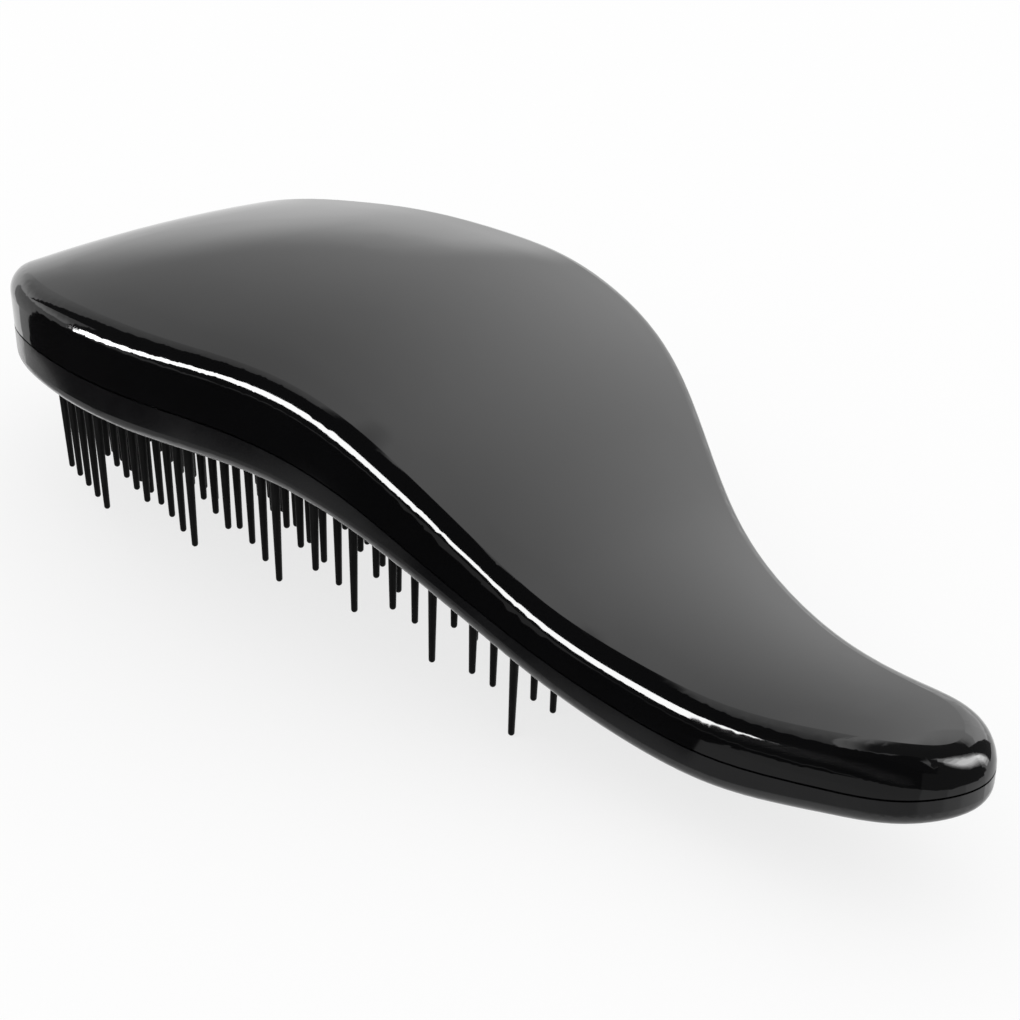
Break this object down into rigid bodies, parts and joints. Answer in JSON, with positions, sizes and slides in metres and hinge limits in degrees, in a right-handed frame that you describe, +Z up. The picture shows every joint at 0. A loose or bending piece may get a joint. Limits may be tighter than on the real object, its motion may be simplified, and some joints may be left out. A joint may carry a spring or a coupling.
{
  "type": "detangling hairbrush",
  "caption": "Wave-shaped detangling hairbrush with a gloss cover, a satin base and a pad of tapered bristles in two lengths that flex row by row.",
  "frame": {"origin": "centre of the brush's footprint on the surface that its bristle tips rest on", "axes": "+X from the head to the handle, +Y across the brush, +Z up, away from the bristles"},
  "size_m": [0.1864, 0.0754, 0.0499],
  "materials": {
    "gloss_black": "polished",
    "satin_grey": "satin",
    "pad_black": "matte",
    "bristle_black": "satin"
  },
  "bodies": {
    "body": {"top_cover": "gloss_black", "base_shell": "satin_grey", "bristle_pad": "pad_black"},
    "row_01": {"bristle_row_01": "bristle_black"},
    "row_02": {"bristle_row_02": "bristle_black"},
    "row_03": {"bristle_row_03": "bristle_black"},
    "row_04": {"bristle_row_04": "bristle_black"},
    "row_05": {"bristle_row_05": "bristle_black"},
    "row_06": {"bristle_row_06": "bristle_black"},
    "row_07": {"bristle_row_07": "bristle_black"},
    "row_08": {"bristle_row_08": "bristle_black"},
    "row_09": {"bristle_row_09": "bristle_black"},
    "row_10": {"bristle_row_10": "bristle_black"},
    "row_11": {"bristle_row_11": "bristle_black"},
    "row_12": {"bristle_row_12": "bristle_black"},
    "row_13": {"bristle_row_13": "bristle_black"},
    "row_14": {"bristle_row_14": "bristle_black"},
    "row_15": {"bristle_row_15": "bristle_black"},
    "row_16": {"bristle_row_16": "bristle_black"},
    "row_17": {"bristle_row_17": "bristle_black"},
    "row_18": {"bristle_row_18": "bristle_black"},
    "row_19": {"bristle_row_19": "bristle_black"}
  },
  "joints": [
    {"name": "row_01_flex", "type": "hinge", "parent": "body", "child": "row_01", "pos_m": [-0.0797, 0, 0.02078], "axis": [0, 1, 0], "range_deg": [-18, 18], "stiffness_Nm_per_rad": 0.27},
    {"name": "row_02_flex", "type": "hinge", "parent": "body", "child": "row_02", "pos_m": [-0.0738, 0, 0.02205], "axis": [0, 1, 0], "range_deg": [-18, 18], "stiffness_Nm_per_rad": 0.36},
    {"name": "row_03_flex", "type": "hinge", "parent": "body", "child": "row_03", "pos_m": [-0.06789, 0, 0.02319], "axis": [0, 1, 0], "range_deg": [-18, 18], "stiffness_Nm_per_rad": 0.39},
    {"name": "row_04_flex", "type": "hinge", "parent": "body", "child": "row_04", "pos_m": [-0.06197, 0, 0.0242], "axis": [0, 1, 0], "range_deg": [-18, 18], "stiffness_Nm_per_rad": 0.42},
    {"name": "row_05_flex", "type": "hinge", "parent": "body", "child": "row_05", "pos_m": [-0.05603, 0, 0.02511], "axis": [0, 1, 0], "range_deg": [-18, 18], "stiffness_Nm_per_rad": 0.45},
    {"name": "row_06_flex", "type": "hinge", "parent": "body", "child": "row_06", "pos_m": [-0.05009, 0, 0.02596], "axis": [0, 1, 0], "range_deg": [-18, 18], "stiffness_Nm_per_rad": 0.48},
    {"name": "row_07_flex", "type": "hinge", "parent": "body", "child": "row_07", "pos_m": [-0.04414, 0, 0.02677], "axis": [0, 1, 0], "range_deg": [-18, 18], "stiffness_Nm_per_rad": 0.45},
    {"name": "row_08_flex", "type": "hinge", "parent": "body", "child": "row_08", "pos_m": [-0.03819, 0, 0.02759], "axis": [0, 1, 0], "range_deg": [-18, 18], "stiffness_Nm_per_rad": 0.48},
    {"name": "row_09_flex", "type": "hinge", "parent": "body", "child": "row_09", "pos_m": [-0.03224, 0, 0.02846], "axis": [0, 1, 0], "range_deg": [-18, 18], "stiffness_Nm_per_rad": 0.45},
    {"name": "row_10_flex", "type": "hinge", "parent": "body", "child": "row_10", "pos_m": [-0.0263, 0, 0.02938], "axis": [0, 1, 0], "range_deg": [-18, 18], "stiffness_Nm_per_rad": 0.48},
    {"name": "row_11_flex", "type": "hinge", "parent": "body", "child": "row_11", "pos_m": [-0.02036, 0, 0.03022], "axis": [0, 1, 0], "range_deg": [-18, 18], "stiffness_Nm_per_rad": 0.45},
    {"name": "row_12_flex", "type": "hinge", "parent": "body", "child": "row_12", "pos_m": [-0.01441, 0, 0.03082], "axis": [0, 1, 0], "range_deg": [-18, 18], "stiffness_Nm_per_rad": 0.42},
    {"name": "row_13_flex", "type": "hinge", "parent": "body", "child": "row_13", "pos_m": [-0.00843, 0, 0.03102], "axis": [0, 1, 0], "range_deg": [-18, 18], "stiffness_Nm_per_rad": 0.45},
    {"name": "row_14_flex", "type": "hinge", "parent": "body", "child": "row_14", "pos_m": [-0.00241, 0, 0.03079], "axis": [0, 1, 0], "range_deg": [-18, 18], "stiffness_Nm_per_rad": 0.42},
    {"name": "row_15_flex", "type": "hinge", "parent": "body", "child": "row_15", "pos_m": [0.00366, 0, 0.03006], "axis": [0, 1, 0], "range_deg": [-18, 18], "stiffness_Nm_per_rad": 0.39},
    {"name": "row_16_flex", "type": "hinge", "parent": "body", "child": "row_16", "pos_m": [0.00978, 0, 0.0286], "axis": [0, 1, 0], "range_deg": [-18, 18], "stiffness_Nm_per_rad": 0.36},
    {"name": "row_17_flex", "type": "hinge", "parent": "body", "child": "row_17", "pos_m": [0.01599, 0, 0.02607], "axis": [0, 1, 0], "range_deg": [-18, 18], "stiffness_Nm_per_rad": 0.33},
    {"name": "row_18_flex", "type": "hinge", "parent": "body", "child": "row_18", "pos_m": [0.02233, 0, 0.02243], "axis": [0, 1, 0], "range_deg": [-18, 18], "stiffness_Nm_per_rad": 0.3},
    {"name": "row_19_flex", "type": "hinge", "parent": "body", "child": "row_19", "pos_m": [0.02874, 0, 0.01849], "axis": [0, 1, 0], "range_deg": [-18, 18], "stiffness_Nm_per_rad": 0.27}
  ]
}
